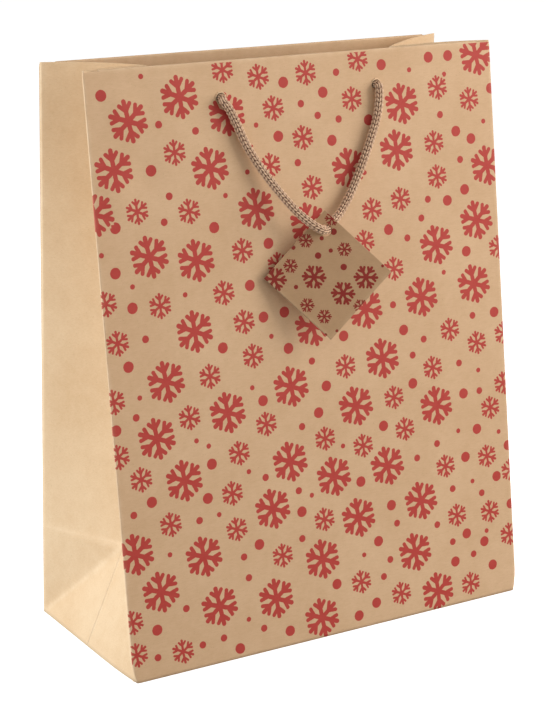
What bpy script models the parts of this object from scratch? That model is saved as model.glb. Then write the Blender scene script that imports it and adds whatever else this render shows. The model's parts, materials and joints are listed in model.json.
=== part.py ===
"""Paper gift bag: a folded kraft carrier with cord handles and a square tag.

Units are metres, +Z is up, the front panel faces -Y.
The origin is the centre of the base, on the surface the bag stands on.
"""

import math

import bmesh
import bpy
import numpy as np
from mathutils import Euler, Vector

MM = 0.001

# ---- the bag as it was cut and folded ----
BAG_WIDTH = 250 * MM            # across the front, edge to edge
BAG_DEPTH = 120 * MM            # front to back at the base
PANEL_LENGTH = 320 * MM         # base fold to mouth fold, along the paper
MOUTH_DEPTH = 54.8 * MM         # front to back at the top, as it stands
PAPER = 0.4 * MM
GAP = 0.3 * MM                  # left between pieces that touch

# ---- base ----
FLAP_OVERLAP = 30 * MM          # where the two glued bottom flaps lap
FLAP_MITRE = 14 * MM            # how far a flap narrows towards its free end
FLAP_STEP = 1.2 * MM            # run over which the rear flap climbs onto the front one
TUCK_DEPTH = 52 * MM            # reach of the side tucks under the board
TUCK_MITRE = 30 * MM
BOARD_THICKNESS = 1.0 * MM
BOARD_CLEARANCE = 1.4 * MM      # loose fit of the board inside the walls
BOARD_EDGE = 0.2 * MM           # bevel left by the cut

# ---- mouth ----
HEM_DEPTH = 36 * MM             # paper turned in at the mouth
CARD_HEIGHT = 32 * MM           # strip of card hidden in the hem
CARD_THICKNESS = 0.8 * MM
CARD_END_MARGIN = 9 * MM        # bag edge to the end of hem and card
HEM_TURN_STEPS = 5              # flats round the turned mouth
LAP_WIDTH = 15 * MM             # glued lap of the side seam
LAP_MARGIN = 2 * MM             # kept clear of board, hem and bag edge
GUSSET_FOLD_HEIGHT = 60 * MM    # the gussets fold fully inward above this
GUSSET_BANDS = 16               # rows of flats up a gusset
GUSSET_CROWDING = 1.3           # above 1, the rows are closer together near the base

# ---- cord handles ----
CORD_DIAMETER = 5 * MM
CORD_CLEARANCE = 0.3 * MM       # cord to paper, on the face and in the holes
HOLE_SPACING = 96 * MM
HOLE_DROP = 19 * MM             # mouth fold to the hole centres
KNOT_SIZE = (12.5 * MM, 9 * MM, 11.5 * MM)
KNOT_SEGMENTS = 16
KNOT_RINGS = 10
HOLE_SEGMENTS = 24
CORD_BEVEL = 2                  # flats to a quarter turn, less one

# ---- tag ----
TAG_SIDE = 49 * MM
TAG_THICKNESS = 0.5 * MM
TAG_HOLE_CLEARANCE = 2.6 * MM   # wider than the cord, which slants through it
TAG_HOLE_FROM_CENTRE = 24.1 * MM
TAG_TURN = (math.radians(-6.0), math.radians(2.0), math.radians(-20.5))

# Each cord runs through these places on its panel, in millimetres:
# (across from the centre line, down from the mouth fold, clear of the paper).
# The first and last are at the holes. The front cord goes through the tag.
FRONT_ROUTE = (
    (-48.0, 19.0, 0.3), (-45.0, 25.0, 0.3), (-41.6, 32.0, 0.3),
    (-37.0, 43.5, 0.5), (-30.6, 55.2, 1.5), (-22.4, 68.3, 4.0),
    (-14.4, 79.8, 7.4), (-9.3, 85.7, 9.8), (-4.8, 89.7, 11.3),
    (-0.6, 92.2, 11.1), (3.4, 93.0, 8.7), (7.2, 92.3, 6.0),
    (13.0, 88.9, 3.1), (19.6, 83.3, 1.3), (26.6, 74.2, 0.4),
    (33.4, 62.3, 0.3), (40.0, 49.0, 0.3), (45.0, 37.6, 0.3),
    (47.5, 27.8, 0.3), (48.0, 19.0, 0.3),
)
BACK_ROUTE = (
    (-48.0, 19.0, 0.3), (-47.6, 29.0, 0.3), (-45.0, 40.0, 0.4),
    (-40.0, 52.0, 0.8), (-33.0, 64.0, 1.1), (-24.0, 76.0, 1.1),
    (-13.0, 85.5, 0.9), (-1.0, 89.5, 0.7), (11.0, 87.0, 0.5),
    (22.5, 78.5, 0.4), (31.5, 67.0, 0.3), (38.5, 54.0, 0.3),
    (43.8, 41.0, 0.3), (47.2, 29.5, 0.3), (48.0, 19.0, 0.3),
)
TAG_HOLE_AT = (3.4, 93.0, 8.7)
CORD_STEPS_PER_SPAN = 3

# ---- worked out from the sizes above ----
LEAN = math.asin((BAG_DEPTH - MOUTH_DEPTH) / 2 / PANEL_LENGTH)
HINGE_Y = BAG_DEPTH / 2 - PAPER / 2
HINGE_Z = PAPER / 2
BASE_TOP = 2 * PAPER + GAP               # top of the lapped bottom flaps
TUCK_Z = BASE_TOP + GAP                  # underside of the side tucks
BOARD_Z = TUCK_Z + PAPER + GAP           # underside of the board
HEM_OFFSET = PAPER + CARD_THICKNESS + 2 * GAP
MOUTH_Z = HINGE_Z + PANEL_LENGTH * math.cos(LEAN)
CORD_RADIUS = CORD_DIAMETER / 2
PANEL_START = PAPER / 2 + 1.3 * GAP      # a panel starts this far above its fold line
PUNCH_LENGTH = 6 * (HEM_OFFSET + PAPER)  # well past panel, card and hem on both sides
TAG_PUNCH_LENGTH = 10 * TAG_THICKNESS

# name, colour and roughness
MATERIALS = {
    "kraft": ("kraft paper", (0.62, 0.44, 0.27), 0.75),
    "inside": ("kraft paper inside", (0.58, 0.38, 0.21), 0.8),
    "card": ("grey card", (0.55, 0.50, 0.43), 0.85),
    "cord": ("knitted cord", (0.66, 0.54, 0.42), 0.9),
    "tag": ("tag card", (0.50, 0.36, 0.22), 0.75),
}


def clear_scene():
    for item in list(bpy.data.objects):
        bpy.data.objects.remove(item, do_unlink=True)


def new_collection(name):
    group = bpy.data.collections.new(name)
    bpy.context.scene.collection.children.link(group)
    return group


def material(name, color, roughness):
    mat = bpy.data.materials.new(name)
    mat.use_nodes = True
    shader = mat.node_tree.nodes["Principled BSDF"]
    shader.inputs["Base Color"].default_value = (*color, 1.0)
    shader.inputs["Roughness"].default_value = roughness
    shader.inputs["Metallic"].default_value = 0.0
    return mat


def add_object(name, data, group, mat=None, parent=None):
    item = bpy.data.objects.new(name, data)
    group.objects.link(item)
    if mat is not None:
        data.materials.append(mat)
    if parent is not None:
        item.parent = parent
    return item


def mesh_from(bm, name):
    bmesh.ops.recalc_face_normals(bm, faces=bm.faces)
    mesh = bpy.data.meshes.new(name)
    bm.to_mesh(mesh)
    bm.free()
    return mesh


def thicken(item, thickness):
    solid = item.modifiers.new("paper thickness", "SOLIDIFY")
    solid.thickness = thickness
    solid.offset = 0.0
    solid.use_even_offset = True


def open_sheet(name, rows):
    """Mesh of a sheet: rows of points, each row as long as the next."""
    bm = bmesh.new()
    grid = [[bm.verts.new(point) for point in row] for row in rows]
    for low, high in zip(grid, grid[1:]):
        for i in range(len(low) - 1):
            bm.faces.new((low[i], low[i + 1], high[i + 1], high[i]))
    return mesh_from(bm, name)


def smooth_through(points, steps):
    """Catmull-Rom curve through the points, ends included."""
    p = np.array(points, dtype=float)
    p = np.vstack((2 * p[0] - p[1], p, 2 * p[-1] - p[-2]))
    out = []
    for a, b, c, d in zip(p, p[1:], p[2:], p[3:]):
        for k in range(steps):
            t = k / steps
            out.append(0.5 * (2 * b + (c - a) * t
                              + (2 * a - 5 * b + 4 * c - d) * t ** 2
                              + (3 * b - a - 3 * c + d) * t ** 3))
    out.append(p[-2])
    return np.array(out)


def on_panel(across, down, out):
    """A place in the panel's own frame: out from its face, down from its mouth."""
    return Vector((across, -PAPER / 2 - out, PANEL_LENGTH - down))


def cord_middle(place):
    """The middle of the cord at one of its route places."""
    across, down, clear = (value * MM for value in place)
    return on_panel(across, down, clear + CORD_RADIUS)


def cutter(name, radius, length, place, parent, group):
    """A cylinder along the panel's thickness, for punching a hole."""
    bm = bmesh.new()
    bmesh.ops.create_cone(bm, cap_ends=True, segments=HOLE_SEGMENTS, radius1=radius,
                          radius2=radius, depth=length)
    item = add_object(name, mesh_from(bm, name), group, parent=parent)
    item.location = place
    item.rotation_euler = (math.pi / 2, 0, 0)
    item.hide_render = True
    item.display_type = "WIRE"
    return item


def boolean(item, other, operation):
    cut = item.modifiers.new(operation.lower(), "BOOLEAN")
    cut.operation = operation
    cut.solver = "EXACT"
    cut.object = other


# ---- base ----

def bottom_flap(name, end, group, mat):
    """A glued bottom flap. The rear one steps up over the front one."""
    fold = BAG_DEPTH / 2
    reach = FLAP_OVERLAP / 2
    low = PAPER / 2
    high = low + PAPER + GAP
    over = reach + GAP + PAPER
    if end < 0:
        stations = [(-fold, low), (reach, low)]
    else:
        stations = [(fold, low), (over + FLAP_STEP, low), (over, high), (-reach, high)]
    rows = []
    for y, z in stations:
        share = abs(y - end * fold) / (fold + reach)
        half = BAG_WIDTH / 2 - FLAP_MITRE * share
        rows.append([(-half, y, z), (half, y, z)])
    flap = add_object(name, open_sheet(name, rows), group, mat)
    thicken(flap, PAPER)


def side_tuck(name, side, group, mat):
    """The gusset's foot, folded in flat over the flaps."""
    fold = BAG_WIDTH / 2 - PAPER - GAP
    z = TUCK_Z + PAPER / 2
    wide = BAG_DEPTH / 2 - PAPER - BOARD_CLEARANCE
    narrow = wide - TUCK_MITRE
    rows = [[(side * fold, -wide, z), (side * fold, wide, z)],
            [(side * (fold - TUCK_DEPTH), -narrow, z),
             (side * (fold - TUCK_DEPTH), narrow, z)]]
    tuck = add_object(name, open_sheet(name, rows), group, mat)
    thicken(tuck, PAPER)


def base_board(group, mat):
    bm = bmesh.new()
    bmesh.ops.create_cube(bm, size=1.0)
    size = (BAG_WIDTH - 2 * (PAPER + BOARD_CLEARANCE),
            BAG_DEPTH - 2 * (PAPER + BOARD_CLEARANCE), BOARD_THICKNESS)
    bmesh.ops.scale(bm, vec=size, verts=bm.verts)
    board = add_object("base_board", mesh_from(bm, "base_board"), group, mat)
    board.location = (0, 0, BOARD_Z + BOARD_THICKNESS / 2)
    edge = board.modifiers.new("cut edge", "BEVEL")
    edge.width = BOARD_EDGE
    edge.segments = 1


# ---- gussets ----

def inner_half_depth(z):
    """Half the distance between the panels' inner faces at a height."""
    return BAG_DEPTH / 2 - PAPER / math.cos(LEAN) - (z - HINGE_Z) * math.tan(LEAN)


def gusset_inset(z):
    """How far the centre crease is drawn in, for paper of fixed width."""
    half = inner_half_depth(z)
    full = math.sqrt(max((BAG_DEPTH / 2) ** 2 - half ** 2, 0.0))
    t = min(z / GUSSET_FOLD_HEIGHT, 1.0)
    return full * t * t * (3 - 2 * t)


def gusset_half(name, side, end, group, mat):
    """Half a gusset, ruled from the bag's edge to the centre crease."""
    foot = PAPER + GAP
    rows = []
    for k in range(GUSSET_BANDS + 1):
        z = foot + (MOUTH_Z - foot) * (k / GUSSET_BANDS) ** GUSSET_CROWDING
        edge = Vector((side * (BAG_WIDTH / 2 - PAPER / 2),
                       end * (inner_half_depth(z) - GAP - PAPER / 2), z))
        crease = Vector((edge.x - side * gusset_inset(z),
                         end * (GAP / 2 + PAPER / 2), z))
        rows.append([edge.lerp(crease, share) for share in (0, 0.5, 1)])
    half = add_object(name, open_sheet(name, rows), group, mat)
    thicken(half, PAPER)


# ---- panels and their parts ----

def hinge_empty(name, end, group):
    """The base fold, where a panel hinges; +Z of the empty runs up the paper."""
    hinge = add_object(name, None, group)
    hinge.location = (0, end * HINGE_Y, HINGE_Z)
    hinge.rotation_euler = (-LEAN, 0, 0 if end < 0 else math.pi)
    return hinge


def panel(name, hinge, group, mat):
    """The printed panel with its hem turned in at the mouth."""
    radius = HEM_OFFSET / 2
    profile = [(0.0, PANEL_START), (0.0, PANEL_LENGTH - HEM_DEPTH)]
    for k in range(HEM_TURN_STEPS + 1):
        turn = math.pi * k / HEM_TURN_STEPS
        profile.append((radius - radius * math.cos(turn),
                        PANEL_LENGTH - PAPER / 2 - radius + radius * math.sin(turn)))
    profile.append((HEM_OFFSET, PANEL_LENGTH - HEM_DEPTH))
    hem_half = BAG_WIDTH / 2 - CARD_END_MARGIN
    rows = []
    for y, z in profile:
        half = BAG_WIDTH / 2 if y < PAPER / 2 else hem_half
        rows.append([(-half, y, z), (half, y, z)])
    sheet = add_object(name, open_sheet(name, rows), group, mat, hinge)
    thicken(sheet, PAPER)
    return sheet


def reinforcing_card(name, hinge, group, mat):
    bm = bmesh.new()
    bmesh.ops.create_cube(bm, size=1.0)
    size = (BAG_WIDTH - 2 * CARD_END_MARGIN, CARD_THICKNESS, CARD_HEIGHT)
    bmesh.ops.scale(bm, vec=size, verts=bm.verts)
    card = add_object(name, mesh_from(bm, name), group, mat, hinge)
    top = PANEL_LENGTH - PAPER - GAP - CARD_THICKNESS / 2
    card.location = (0, HEM_OFFSET / 2, top - CARD_HEIGHT / 2)
    return card


def hole_places():
    return [on_panel(side * HOLE_SPACING / 2, HOLE_DROP, 0) for side in (-1, 1)]


def punch_holes(sheets, hinge, group):
    """The cord holes go straight through panel, card and hem."""
    for k, place in enumerate(hole_places()):
        punch = cutter(f"{sheets[0].name}_punch_{k}", CORD_RADIUS + CORD_CLEARANCE,
                       PUNCH_LENGTH, place, hinge, group)
        for sheet in sheets:
            boolean(sheet, punch, "DIFFERENCE")


def knot(name, place, hinge, group, cutters, mat):
    """The knot behind a hole and the bit of cord that fills the hole."""
    inside = HEM_OFFSET + PAPER + GAP
    centre_y = place.y + inside + KNOT_SIZE[1] / 2
    bm = bmesh.new()
    bmesh.ops.create_uvsphere(bm, u_segments=KNOT_SEGMENTS, v_segments=KNOT_RINGS,
                              radius=0.5)
    bmesh.ops.scale(bm, vec=KNOT_SIZE, verts=bm.verts)
    ball = add_object(name, mesh_from(bm, name), group, mat, hinge)
    ball.location = (place.x, centre_y, place.z)
    stub_length = inside + KNOT_SIZE[1] / 2
    bm = bmesh.new()
    bmesh.ops.create_cone(bm, cap_ends=True, segments=KNOT_SEGMENTS, radius1=CORD_RADIUS,
                          radius2=CORD_RADIUS, depth=stub_length)
    stub = add_object(f"{name}_stub", mesh_from(bm, f"{name}_stub"), cutters,
                      parent=hinge)
    stub.location = (place.x, place.y + stub_length / 2, place.z)
    stub.rotation_euler = (math.pi / 2, 0, 0)
    stub.hide_render = True
    stub.display_type = "WIRE"
    boolean(ball, stub, "UNION")
    ball.data.shade_smooth()


def handle_cord(name, route, hinge, group, mat):
    """The free cord of a handle, on an empty at the axis through its holes."""
    axis_at = on_panel(0, HOLE_DROP, CORD_RADIUS + CORD_CLEARANCE)
    axis = add_object(f"{name}_axis", None, group, parent=hinge)
    axis.location = axis_at
    points = [cord_middle(place) - axis_at
              for place in smooth_through(route, CORD_STEPS_PER_SPAN)]
    curve = bpy.data.curves.new(name, "CURVE")
    curve.dimensions = "3D"
    curve.bevel_depth = CORD_RADIUS
    curve.bevel_resolution = CORD_BEVEL
    curve.use_fill_caps = True
    spline = curve.splines.new("POLY")
    spline.points.add(len(points) - 1)
    for spot, point in zip(spline.points, points):
        spot.co = (*point, 1.0)
    add_object(name, curve, group, mat, axis)
    return axis, axis_at


def gift_tag(axis, axis_at, group, cutters, mat):
    """A square card hung by one corner. Its origin is the cord's hole."""
    bm = bmesh.new()
    bmesh.ops.create_cube(bm, size=1.0)
    bmesh.ops.scale(bm, vec=(TAG_SIDE, TAG_THICKNESS, TAG_SIDE), verts=bm.verts)
    bmesh.ops.rotate(bm, verts=bm.verts,
                     matrix=Euler((0, math.pi / 4, 0)).to_matrix())
    bmesh.ops.translate(bm, verts=bm.verts, vec=(0, 0, -TAG_HOLE_FROM_CENTRE))
    tag = add_object("gift_tag", mesh_from(bm, "gift_tag"), group, mat, axis)
    tag.location = cord_middle(TAG_HOLE_AT) - axis_at
    tag.rotation_euler = TAG_TURN
    hole_radius = (CORD_DIAMETER + TAG_HOLE_CLEARANCE) / 2
    punch = cutter("tag_punch", hole_radius, TAG_PUNCH_LENGTH, (0, 0, 0), tag, cutters)
    boolean(tag, punch, "DIFFERENCE")


def side_seam_lap(hinge, group, mat):
    """The glued lap of the side seam, inside the back panel's edge."""
    y = PAPER + GAP
    low = BOARD_Z + BOARD_THICKNESS + LAP_MARGIN
    high = PANEL_LENGTH - HEM_DEPTH - LAP_MARGIN
    outer = BAG_WIDTH / 2 - LAP_MARGIN
    rows = [[(-outer, y, z), (-outer + LAP_WIDTH, y, z)] for z in (low, high)]
    lap = add_object("side_seam_lap", open_sheet("side_seam_lap", rows), group,
                     mat, hinge)
    thicken(lap, PAPER)


def panel_assembly(name, end, route, group, cutters, mats):
    hinge = hinge_empty(f"{name}_hinge", end, group)
    sheet = panel(f"{name}_panel", hinge, group, mats["kraft"])
    card = reinforcing_card(f"{name}_reinforcing_card", hinge, group, mats["card"])
    punch_holes((sheet, card), hinge, cutters)
    sides = ("left", "right") if end < 0 else ("right", "left")
    for side, place in zip(sides, hole_places()):
        knot(f"{name}_{side}_knot", place, hinge, group, cutters, mats["cord"])
    axis, axis_at = handle_cord(f"{name}_handle_cord", route, hinge, group,
                                mats["cord"])
    return hinge, axis, axis_at


def main():
    clear_scene()
    group = new_collection("gift_bag")
    cutters = new_collection("cutters")
    mats = {key: material(*look) for key, look in MATERIALS.items()}
    bottom_flap("front_bottom_flap", -1, group, mats["kraft"])
    bottom_flap("rear_bottom_flap", 1, group, mats["kraft"])
    for word, side in (("left", -1), ("right", 1)):
        side_tuck(f"{word}_base_tuck", side, group, mats["inside"])
        gusset_half(f"{word}_gusset_front_half", side, -1, group, mats["inside"])
        gusset_half(f"{word}_gusset_rear_half", side, 1, group, mats["inside"])
    base_board(group, mats["card"])
    front, axis, axis_at = panel_assembly("front", -1, FRONT_ROUTE, group,
                                          cutters, mats)
    gift_tag(axis, axis_at, group, cutters, mats["tag"])
    back, _, _ = panel_assembly("back", 1, BACK_ROUTE, group, cutters, mats)
    side_seam_lap(back, group, mats["inside"])


main()
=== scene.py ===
import json
import math

import bpy
import numpy as np
from mathutils import Matrix, Vector


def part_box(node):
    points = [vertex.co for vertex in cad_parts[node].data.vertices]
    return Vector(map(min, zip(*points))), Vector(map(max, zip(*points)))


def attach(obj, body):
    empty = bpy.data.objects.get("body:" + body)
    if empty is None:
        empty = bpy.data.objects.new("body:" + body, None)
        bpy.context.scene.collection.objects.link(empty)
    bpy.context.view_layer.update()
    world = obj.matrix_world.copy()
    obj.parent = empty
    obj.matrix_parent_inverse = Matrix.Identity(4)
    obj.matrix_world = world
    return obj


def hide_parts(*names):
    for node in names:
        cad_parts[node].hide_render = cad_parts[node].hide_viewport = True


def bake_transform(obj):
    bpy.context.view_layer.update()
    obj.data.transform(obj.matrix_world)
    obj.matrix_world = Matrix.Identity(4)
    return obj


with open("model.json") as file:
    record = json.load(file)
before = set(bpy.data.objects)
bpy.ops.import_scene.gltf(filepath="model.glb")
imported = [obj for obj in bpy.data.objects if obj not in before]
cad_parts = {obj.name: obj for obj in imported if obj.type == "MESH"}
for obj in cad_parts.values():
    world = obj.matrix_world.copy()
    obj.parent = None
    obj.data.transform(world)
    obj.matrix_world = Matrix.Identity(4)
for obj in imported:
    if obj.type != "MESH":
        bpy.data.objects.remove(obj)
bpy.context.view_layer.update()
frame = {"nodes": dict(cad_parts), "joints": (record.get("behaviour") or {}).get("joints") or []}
mm = 0.001
print("frame loaded with", len(frame["nodes"]), "nodes")

hinges = {joint["name"]: Vector(joint["pos_m"]) for joint in frame["joints"]}

# the paper bag itself: a tube of kraft paper with a block bottom, its top edge turned in
bag = {
    "width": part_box("front_panel")[1].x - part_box("front_panel")[0].x,
    "depth": 120 * mm,
    "mouth": 54.8 * mm,
    "panelLength": 320 * mm,
    "paper": 0.4 * mm,
    "cornerFold": 0.5 * mm,      # radius of the folded upright edges
    "cornerSteps": 5,
    "hem": 36 * mm,
    "panelHemOffset": 1.8 * mm,  # room for the card inside the hem
    "gussetHemOffset": 0.6 * mm,
    "hemMargin": 0.072,          # share by which the hem is narrower than the panel
    "hemTurnSteps": 8,
    "hemCellRatio": 2.5,         # the hem's cells are this much taller
    "cell": 1.6 * mm,
    "belly": 0.9 * mm,           # how far the middle of a panel sinks in
    "wave": 0.25 * mm,
    "waves": ((5.2, 3.1, 1.0), (2.3, -6.4, 0.0)),   # radians across, up and at the start
    "waveLift": 1.6,             # keeps the waves on the sunken side
    "wearAndHighlightWidth": 0.9 * mm,       # how far a fold's pale line, part wear and part painted highlight, spreads
    "footPinch": 2.0 * mm,       # the bottom corners are drawn in a little
    "footHeight": 14 * mm,
    # across, down, size and depth, in millimetres
    "dents": ((-106, 20, 9, -0.8), (-95, 54, 10, 0.7), (-112, 66, 9, -0.5), (-76, 12, 8, -0.6)),
}
lean = math.asin((bag["depth"] - bag["mouth"]) / 2 / bag["panelLength"])
cosLean, sinLean = math.cos(lean), math.sin(lean)


# across, inward and up the paper become world places: leant in about the bottom fold,
# and turned half round for the back panel
def toWorld(across, inward, upPaper, back=False):
    hinge = hinges["front_panel_fold"]
    y = inward * cosLean + upPaper * sinLean + hinge.y
    z = upPaper * cosLean - inward * sinLean + hinge.z
    turn = -1 if back else 1
    return np.stack(np.broadcast_arrays(turn * across, turn * y, z), axis=-1)


def unit(vectors):
    return vectors / np.maximum(np.linalg.norm(vectors, axis=-1, keepdims=True), 1e-12)


def smoothStep(t):
    t = np.clip(t, 0, 1)
    return t * t * (3 - 2 * t)


def newObject(name, points, faces, smooth=True):
    mesh = bpy.data.meshes.new(name)
    mesh.from_pydata(np.asarray(points).reshape(-1, 3).tolist(), [], faces)
    mesh.polygons.foreach_set("use_smooth", [smooth] * len(mesh.polygons))
    piece = bpy.data.objects.new(name, mesh)
    bpy.context.scene.collection.objects.link(piece)
    return piece


def dress(piece, material):
    piece.data.materials.clear()
    piece.data.materials.append(material)


# the camera, in front of the left corner and a little above the mouth
view = {
    "place": (-518 * mm, -903 * mm, 422 * mm),
    "heading": 29.76,   # degrees right of straight ahead
    "downTilt": 14.87,
    "roll": -1.04,
    "lens": 124.8,
    "sensor": 36,
    "near": 10 * mm,
}


def makeCamera():
    heading, tilt, roll = (math.radians(view[key]) for key in ("heading", "downTilt", "roll"))
    forward = Vector((math.sin(heading) * math.cos(tilt), math.cos(heading) * math.cos(tilt),
                      -math.sin(tilt)))
    right = Vector((math.cos(heading), -math.sin(heading), 0))
    up = right.cross(forward)
    right, up = (right * math.cos(roll) + up * math.sin(roll),
                 up * math.cos(roll) - right * math.sin(roll))
    camera = bpy.data.objects.new("camera", bpy.data.cameras.new("camera"))
    bpy.context.scene.collection.objects.link(camera)
    turn = Matrix((right, up, -forward)).transposed().to_4x4()
    camera.matrix_world = Matrix.Translation(view["place"]) @ turn
    camera.data.lens = view["lens"]
    camera.data.sensor_fit = "HORIZONTAL"
    camera.data.sensor_width = view["sensor"]
    camera.data.clip_start = view["near"]
    bpy.context.scene.camera = camera


makeCamera()
print("camera placed")


# wraps one socket: sums and products on it add Math nodes to its own material
class Wire:
    def __init__(self, tree, socket=None):
        self.tree, self.socket = tree, socket

    # any node: its settings first, then the values or wires of its sockets
    def node(self, kind, settings=None, inputs=None, output=0):
        made = self.tree.nodes.new("ShaderNode" + kind)
        for key, value in (settings or {}).items():
            setattr(made, key, value)
        for key, value in (inputs or {}).items():
            if isinstance(value, Wire):
                self.tree.links.new(value.socket, made.inputs[key])
            else:
                made.inputs[key].default_value = value
        return Wire(self.tree, made.outputs[output])

    def math(self, operation, *terms):
        return self.node("Math", {"operation": operation}, dict(enumerate(terms)))

    def __add__(self, other):
        return self.math("ADD", self, other)

    def __radd__(self, other):
        return self.math("ADD", other, self)

    def __sub__(self, other):
        return self.math("SUBTRACT", self, other)

    def __rsub__(self, other):
        return self.math("SUBTRACT", other, self)

    def __mul__(self, other):
        return self.math("MULTIPLY", self, other)

    def __truediv__(self, other):
        return self.math("DIVIDE", self, other)

    def clamp(self):
        return self.node("Clamp", {}, {0: self})

    # a colour between two, self being the share of the second
    def mix(self, first, second):
        return self.node("Mix", {"data_type": "RGBA"}, {0: self, 6: first, 7: second}, 2)


# red, green and blue from 0 to 255 as the eye sees them, made linear
def tone(red, green, blue):
    linear = [((c / 255 + 0.055) / 1.055) ** 2.4 for c in (red, green, blue)]
    return (*linear, 1)


def newMaterial(name, **fixed):
    material = bpy.data.materials.new(name)
    material.use_nodes = True
    surface = material.node_tree.nodes["Principled BSDF"]
    for key, value in fixed.items():
        surface.inputs[key].default_value = value
    return material, surface, Wire(material.node_tree)


def feed(surface, paint, **wires):
    for key, wire in wires.items():
        paint.tree.links.new(wire.socket, surface.inputs[key.replace("_", " ")])


kraft = {
    "printed": (tone(205, 167, 126), tone(226, 191, 152)),   # deep, pale
    "plain": (tone(208, 172, 130), tone(229, 200, 162)),
    # painted shade: the tag card's tones are the bag's kraft made darker, for the tag turned away from
    # the key lamp
    "card": (tone(172, 136, 98), tone(192, 155, 116)),
    "fleck": tone(150, 112, 76),
    # pale tone for folds, edges and hole burrs: part rubbed wear, part painted highlight along the
    # edges
    "wearAndHighlight": tone(236, 208, 172),
    "ink": (tone(180, 48, 43), tone(194, 70, 61)),           # full, thin
    # painted shade: the tag's ink is made darker the same way
    "shadedCardInk": (tone(130, 22, 14), tone(146, 38, 28)),
    "grain": 900,          # noise scales, to the metre
    "cloudGrain": 22,
    "patchGrain": 140,
    "fleckGrain": 2600,
    "fleckFrom": 0.69,     # only the noise above this is a fleck
    "fleckStrength": 0.45,
    "stretch": (0.35, 1.0, 1.6),   # fibres lie across
    "fibreRelief": 0.05 * mm,
    "roughness": 0.66,
    "inkRoughness": 0.12,  # ink is this much smoother
    "inkEdge": 0.12 * mm,  # how far the ink's edge bleeds
    "inkRagged": 0.25 * mm,
    "inkRaggedGrain": 1400,
    "armEnd": 0.90,        # shares of a flake's radius
    "branchAt": 0.46,
    "branchSide": 0.27,
    "branchRise": 0.31,
    "branchThin": 0.86,    # a branch's stroke against its arm's
}


def noise(place, scale, detail=2.0, rough=0.5):
    return place.node("TexNoise", {}, {"Vector": place, "Scale": scale, "Detail": detail,
                                       "Roughness": rough})


# How much ink lies at a point: each part of the paper knows its place about the nearest motif's
# middle, in that motif's radii. Six arms are folded onto one, which is the distance to a line
# up the arm, joined with the distance to a line up its side branch. A dot is a disc.
def inkCover(paint, place):
    local = paint.node("UVMap", {"uv_map": "motif"})
    facts = paint.node("UVMap", {"uv_map": "motifKind"})
    ragged = noise(place, kraft["inkRaggedGrain"], 1.0) - 0.5
    sides = local.node("SeparateXYZ", {}, {0: local})
    x, y = sides, Wire(paint.tree, sides.socket.node.outputs[1])
    kinds = facts.node("SeparateXYZ", {}, {0: facts})
    stroke, radius = kinds, Wire(paint.tree, kinds.socket.node.outputs[1])
    reach = (x * x + y * y).math("SQRT", x * x + y * y)
    angle = x.math("ARCTAN2", x, y)
    folded = angle.math("WRAP", angle, math.pi / 6, -math.pi / 6)
    folded = folded.math("ABSOLUTE", folded)
    side = reach * folded.math("SINE", folded)
    rise = reach * folded.math("COSINE", folded)
    past = rise.math("MAXIMUM", rise - kraft["armEnd"], 0.0)
    armGap = past.math("SQRT", side * side + past * past) - stroke
    length = math.hypot(kraft["branchSide"], kraft["branchRise"])
    outX, outY = kraft["branchSide"] / length, kraft["branchRise"] / length
    fromBase = rise - kraft["branchAt"]
    along = side * outX + fromBase * outY
    along = along.math("MINIMUM", along.math("MAXIMUM", along, 0.0), length)
    offX, offY = side - along * outX, fromBase - along * outY
    branchGap = offX.math("SQRT", offX * offX + offY * offY) - stroke * kraft["branchThin"]
    flakeGap = armGap.math("MINIMUM", armGap, branchGap)
    isDot = stroke.math("GREATER_THAN", stroke, 0.5)
    isPrint = stroke.math("GREATER_THAN", stroke, 0.01)
    gap = flakeGap + isDot * (reach - 1.0 - flakeGap)
    cover = (0.5 - (gap * radius * mm + ragged * kraft["inkRagged"]) / kraft["inkEdge"]).clamp()
    return cover * isPrint


# Paper: a pale and a deep tone shared out by clouds, patches and fibres, with dark flecks. Folds
# marked on the mesh are painted pale, part rubbed wear and part painted highlight, and ink lies over
# all where the print covers it.
def paperMaterial(name, ground, ink=None):
    material, surface, paint = newMaterial(name, **{"Specular IOR Level": 0.3})
    place = paint.node("TexCoord", {}, {}, 3)
    long = place.node("Mapping", {}, {"Vector": place, "Scale": kraft["stretch"]})
    fibres = noise(long, kraft["grain"], 3.0, 0.6)
    cloud = noise(place, kraft["cloudGrain"], 3.0, 0.55)
    patch = noise(place, kraft["patchGrain"], 2.0, 0.6)
    share = (cloud * 0.9 + patch * 0.5 + fibres * 0.7 - 0.55).clamp()
    colour = share.mix(*kraft[ground])
    flecks = noise(place, kraft["fleckGrain"], 1.0, 0.4)
    flecks = ((flecks - kraft["fleckFrom"]) * 12).clamp()
    colour = (flecks * kraft["fleckStrength"]).mix(colour, kraft["fleck"])
    # pale folds and edges: part rubbed wear, part painted highlight
    fold = paint.node("Attribute", {"attribute_name": "fold"}, {}, 2)
    wearAndHighlight = (fold * (patch * 0.9 - 0.12)).clamp()
    colour = wearAndHighlight.mix(colour, kraft["wearAndHighlight"])
    rough = kraft["roughness"] + fibres * 0.14
    if ink:
        cover = inkCover(paint, place)
        inked = (patch * 0.7 + fibres * 0.5 - 0.2).clamp().mix(*kraft[ink])
        cover = cover * (1 - wearAndHighlight * 0.35)
        colour = (cover * 0.97).mix(colour, inked)
        rough = rough - cover * kraft["inkRoughness"]
    relief = paint.node("Bump", {}, {"Strength": 0.35, "Distance": kraft["fibreRelief"],
                                     "Height": fibres + patch * 0.6})
    feed(surface, paint, Base_Color=colour, Roughness=rough, Normal=relief)
    return material


boardLook = {"pale": tone(186, 174, 158), "deep": tone(150, 138, 122), "relief": 0.08 * mm,
             "grain": 700, "cloudGrain": 60, "roughness": 0.8}


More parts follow.
